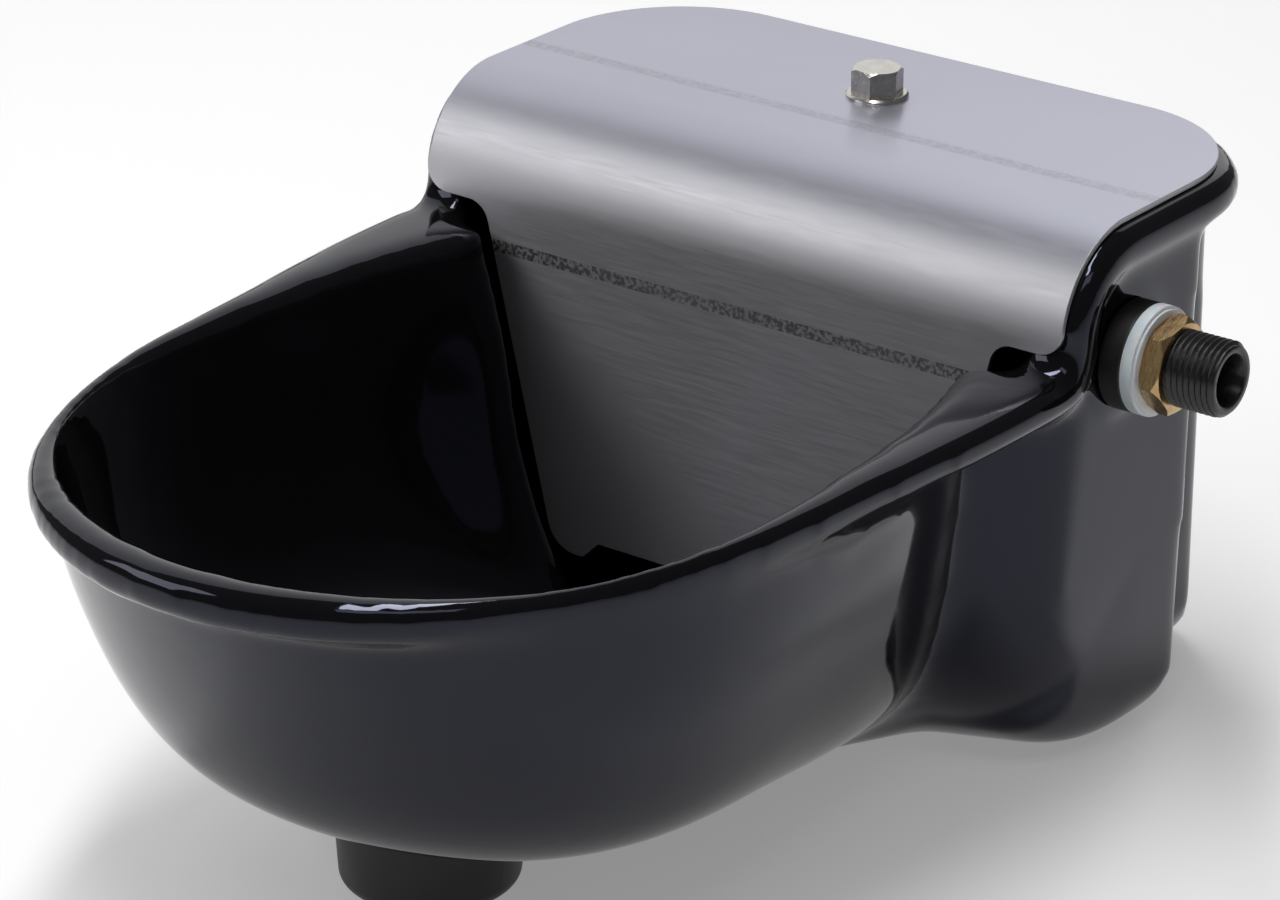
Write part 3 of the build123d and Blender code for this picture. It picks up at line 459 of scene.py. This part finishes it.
def float_plastic():
    """Off-white blow-moulded float, faintly streaked, with a seam round its middle."""
    m = Recipe(
        "float_plastic",
        (0.78, 0.77, 0.72),
        roughness=0.4,
        Subsurface_Weight=0.2,
        Subsurface_Scale=0.005,
    )
    m.round_edges(0.6 * MM)
    low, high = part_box("float_body")
    seam = m.near(m.axis("Z"), (low.z + high.z) / 2, 0.8 * MM, 0.5 * MM)
    streak = m.ranged(m.noise(60.0, 4.0, stretch=(1.0, 1.0, 0.3)), 0.0, 1.0)
    m.colour(m.mixed(streak, (0.72, 0.7, 0.64), (0.82, 0.81, 0.77)))
    m.roughness(m.ranged(m.noise(300.0, 3.0), 0.34, 0.48))
    m.raise_by(seam, 0.5 * MM)
    m.raise_by(m.noise(500.0, 2.0), 0.03 * MM)
    return m.material


def dress(piece, material):
    """Gives every face of the piece one material."""
    piece.data.materials.clear()
    piece.data.materials.append(material)
    for face in piece.data.polygons:
        face.material_index = 0


def casting_copy():
    """Both halves of the casting in one mesh, the bowl's cut end pushed into the tank's."""
    bm = bmesh.new()
    bm.from_mesh(NODES["bowl_casting"].data)
    for v in bm.verts:
        if v.co.y > BOWL_HIGH.y - TOUCH:
            v.co.y += CASTING_LAP
    bm.from_mesh(NODES["tank_casting"].data)
    bmesh.ops.remove_doubles(bm, verts=bm.verts, dist=MERGE)
    return bm


def corners_of(mesh):
    """A tree of the places on the front of the casting where its skin turns or folds sharply."""
    bm = bmesh.new()
    bm.from_mesh(mesh)
    front = [e for e in bm.edges if e.verts[0].co.y < TANK_LOW.y + CORNER_ZONE]
    turns = [(e, e.calc_face_angle_signed(0.0)) for e in front]
    sharp = [e for e, angle in turns if angle > CORNER_ANGLE or angle < HOLLOW_ANGLE]
    tree = KDTree(len(sharp))
    for i, edge in enumerate(sharp):
        tree.insert(edge.verts[0].co, i)
    tree.balance()
    bm.free()
    return tree


def edge_weight(co, corners):
    """1 along the inner edge of the bowl's rim, less at sharp corners, falling to 0 beside them."""
    down = max(0.0, (BOWL_HIGH.z - EDGE_DEPTH) - co.z) / EDGE_FADE
    belly_y = BOWL_LOW.y + BELLY_FROM_NOSE
    along = min(0.0, co.y - belly_y) / (BELLY_FROM_NOSE - EDGE_FROM_NOSE)
    out = (co.x / EDGE_HALF_WIDTH) ** 2 + along**2
    edge = clamped((1.0 + EDGE_SPREAD - out) / EDGE_SPREAD) * clamped(1.0 - down)
    near = 1.0 - (corners.find(co)[2] - CORNER_REACH) / CORNER_FADE
    return max(edge, CORNER_SHARE * clamped(near))


def beside_hull(co):
    """How far a place lies outwards of the hull where the hull meets the tank's front."""
    return abs(co.x) - HULL_HALF_WIDTH_LOW - HULL_SPREAD * max(0.0, co.z - TANK_LOW.z)


def joint_weight(co):
    """1 where the hull runs into the tank's front and under the rim, falling to 0 around them."""
    ahead = TANK_LOW.y - co.y
    if co.z > UNDER_RIM_Z - JOINT_REACH:
        if abs(co.x) <= HULL_TOP_INNER:
            return 0.0
        past = max(-ahead, ahead - UNDER_RIM_LENGTH)
        return clamped(min(2.0 - 2.0 * past / JOINT_REACH, (UNDER_RIM_Z - co.z) / UNDER_RIM_FADE))
    across = clamped(2.0 - 2.0 * abs(beside_hull(co)) / JOINT_REACH)
    return across * clamped(2.0 - 2.0 * abs(ahead) / JOINT_REACH)


def round_foot(mesh):
    """Turns the tank's lower front edge, beside the bowl, from a corner into an arc."""
    inner, outer = FOOT_SPAN
    for v in mesh.vertices:
        outwards = clamped((abs(v.co.x) - inner) / (outer - inner))
        radius = FOOT_R_INNER + (FOOT_R_OUTER - FOOT_R_INNER) * outwards
        y, z = TANK_LOW.y + radius, TANK_LOW.z + radius
        ahead, down = y - v.co.y, z - v.co.z
        share = clamped(beside_hull(v.co) / FOOT_BLEND)
        if ahead <= 0 or down <= 0 or share <= 0:
            continue
        share = share * share * (3 - 2 * share)
        arc = max(ahead, down) / math.hypot(ahead, down)
        shrink = 1.0 + (arc - 1.0) * share
        v.co.y, v.co.z = y - ahead * shrink, z - down * shrink


def smooth_where(piece, weight_at, iterations):
    """Smooths the piece's skin where the weight of a place is above 0."""
    group = piece.vertex_groups.new(name="where")
    for v in piece.data.vertices:
        weight = weight_at(v.co)
        if weight > 0.01:
            group.add([v.index], weight, "REPLACE")
    smooth = piece.modifiers.new("flow", "SMOOTH")
    smooth.factor = SMOOTH_FACTOR
    smooth.iterations = iterations
    smooth.vertex_group = group.name
    bake(piece)
    piece.vertex_groups.clear()


def enamelled_casting():
    """The casting as one skin, its corners filled and its edges rounded as enamel leaves them."""
    bm = casting_copy()
    surface = BVHTree.FromBMesh(bm)
    mesh = mesh_from("enamelled_casting", bm)
    piece = finished(
        "enamelled_casting", mesh, "bowl", "black_enamel", "bowl_casting", "tank_casting"
    )
    remesh = piece.modifiers.new("skin", "REMESH")
    remesh.mode = "VOXEL"
    remesh.voxel_size = CASTING_VOXEL
    bake(piece)
    for v in piece.data.vertices:
        v.co = surface.find_nearest(v.co)[0]
    corners = corners_of(piece.data)
    round_foot(piece.data)
    smooth_where(piece, lambda co: 1.0, CASTING_SMOOTHING)
    smooth_where(piece, lambda co: edge_weight(co, corners), EDGE_SMOOTHING)
    smooth_where(piece, joint_weight, JOINT_SMOOTHING)
    piece.data.shade_smooth()
    return piece


def cut_across(bm, x, keep_low):
    """Cuts away all that lies past a plane across X, or all that lies before it."""
    bmesh.ops.bisect_plane(
        bm,
        geom=bm.verts[:] + bm.edges[:] + bm.faces[:],
        plane_co=(x, 0, 0),
        plane_no=(1, 0, 0),
        clear_outer=keep_low,
        clear_inner=not keep_low,
        dist=MERGE,
    )


def valve_barrel():
    """The valve's body without the free end of its stub."""
    bm = cad_copy("valve_body")
    cut_across(bm, NUT_HIGH.x, keep_low=True)
    mesh = mesh_from("valve_barrel", bm)
    return finished("valve_barrel", mesh, "bowl", "black_plastic", "valve_body")


def off_axis(co, centre):
    """The way from the inlet's axis straight out to a place."""
    away = co - centre
    away.x = 0.0
    return away


def wind_thread(bm, centre, start, end):
    """Winds the thread's profile along X, from before the start to past the end."""
    radii = {"root": STUB_CREST_R - THREAD_DEPTH, "crest": STUB_CREST_R}
    profile = []
    for share, level in THREAD_PROFILE:
        x = start + (share - 1) * THREAD_PITCH
        profile.append(bm.verts.new(centre + Vector((x, 0, radii[level]))))
    edges = [bm.edges.new(pair) for pair in zip(profile, profile[1:])]
    turns = math.ceil((end - start) / THREAD_PITCH) + 2
    bmesh.ops.spin(
        bm,
        geom=profile + edges,
        cent=centre,
        axis=(1, 0, 0),
        dvec=(THREAD_PITCH / THREAD_STEPS, 0, 0),
        angle=2 * math.pi * turns,
        steps=THREAD_STEPS * turns,
    )
    bmesh.ops.remove_doubles(bm, verts=bm.verts, dist=TOUCH)


def bore_out(bm, centre, start, end):
    """Draws the stub's open end inwards and back to the start, as a bore with a lip."""
    mouth = [
        e for e in bm.edges if e.is_boundary and min(v.co.x for v in e.verts) > end - TOUCH
    ]
    lip = (STUB_BORE_R + STUB_LIP, end)
    for radius, x in (lip, (STUB_BORE_R, end - STUB_LIP), (STUB_BORE_R, start)):
        grown = bmesh.ops.extrude_edge_only(bm, edges=mouth)["geom"]
        mouth = [e for e in grown if isinstance(e, bmesh.types.BMEdge)]
        for v in (v for v in grown if isinstance(v, bmesh.types.BMVert)):
            out = off_axis(v.co, centre).normalized()
            v.co = Vector((x, centre.y, centre.z)) + out * radius


def inlet_stub():
    """Free end of the stub: a pipe thread wound along X, with a chamfered mouth and a bore."""
    centre = Vector((0, (NUT_LOW.y + NUT_HIGH.y) / 2, (NUT_LOW.z + NUT_HIGH.z) / 2))
    start, end = NUT_HIGH.x - STUB_LAP, BODY_HIGH.x
    bm = bmesh.new()
    wind_thread(bm, centre, start, end)
    cut_across(bm, start, keep_low=False)
    cut_across(bm, end, keep_low=True)
    for v in bm.verts:
        away = off_axis(v.co, centre)
        most = STUB_CREST_R - max(0.0, v.co.x - (end - STUB_CHAMFER))
        v.co = Vector((v.co.x, centre.y, centre.z)) + away * min(1.0, most / away.length)
    bore_out(bm, centre, start, end)
    bmesh.ops.recalc_face_normals(bm, faces=bm.faces)
    mesh = mesh_from("inlet_stub", bm)
    return finished("inlet_stub", mesh, "bowl", "black_plastic", "valve_body")


def tightened(node, body, slot, axis, degrees):
    """A copy of a nut or bolt, turned about its own axis to where its flats came to rest."""
    low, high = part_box(node)
    bm = cad_copy(node)
    turn = Matrix.Rotation(math.radians(degrees), 3, axis)
    bmesh.ops.rotate(bm, cent=(low + high) / 2, matrix=turn, verts=bm.verts)
    return finished("tightened_" + node, mesh_from(node, bm), body, slot, node)


def floor():
    """Plain pale floor that the bowl stands on."""
    bm = bmesh.new()
    bmesh.ops.create_grid(bm, x_segments=4, y_segments=4, size=FLOOR_HALF)
    piece = bpy.data.objects.new("floor", mesh_from("floor", bm))
    piece.location.z = CAD_LOW.z - FLOOR_GAP
    bpy.context.scene.collection.objects.link(piece)
    m = Recipe("floor_paper", FLOOR_COLOUR, 0.9, Emission_Color=(1.0, 1.0, 1.0, 1.0))
    m.colour(m.mixed(m.noise(3.0), FLOOR_COLOUR, FLOOR_SHADE))
    ray = m.add("ShaderNodeLightPath").outputs
    seen = m.math("MAXIMUM", ray["Is Camera Ray"], ray["Is Glossy Ray"])
    seen = m.math("MAXIMUM", seen, ray["Is Transmission Ray"])
    m.link(m.math("MULTIPLY", seen, FLOOR_LIFT), m.shader.inputs["Emission Strength"])
    dress(piece, m.material)


def softbox(name, place, width, height, brightness):
    """Rectangular lamp turned to face the bowl."""
    data = bpy.data.lights.new(name, "AREA")
    data.shape = "RECTANGLE"
    data.size = width
    data.size_y = height
    data.energy = brightness * math.pi * width * height
    lamp = bpy.data.objects.new(name, data)
    lamp.location = place
    towards = Vector(LAMP_AIM) - Vector(place)
    lamp.rotation_euler = towards.to_track_quat("-Z", "Y").to_euler()
    bpy.context.scene.collection.objects.link(lamp)


def studio():
    world = bpy.data.worlds.new("studio")
    bpy.context.scene.world = world
    world.use_nodes = True
    back = world.node_tree.nodes["Background"]
    back.inputs["Color"].default_value = (*ROOM_COLOUR, 1.0)
    back.inputs["Strength"].default_value = ROOM_STRENGTH
    for lamp in LAMPS:
        softbox(*lamp)
    bpy.context.scene.view_settings.view_transform = "Standard"


make_camera()
floor()
studio()
FINISHES = {
    "black_enamel": enamel(),
    "stainless_sheet": stainless_sheet(),
    "stainless_fastener": stainless_fastener(),
    "black_rubber": rubber(),
    "white_nylon": nylon(),
    "brass": brass(),
    "black_plastic": moulded_plastic(),
    "float_plastic": float_plastic(),
}
for part in frame["record"]["subparts"]:
    dress(NODES[part["node"]], FINISHES[part["material_slot"]])
dress(NODES["float_stem"], stem_steel())
dress(enamelled_casting(), FINISHES["black_enamel"])
dress(valve_barrel(), FINISHES["black_plastic"])
dress(inlet_stub(), FINISHES["black_plastic"])
bolt = tightened("cover_bolt", "bolt", "stainless_fastener", "Z", BOLT_TURN)
dress(bolt, FINISHES["stainless_fastener"])
dress(tightened("inlet_backnut", "bowl", "brass", "X", NUT_TURN), FINISHES["brass"])
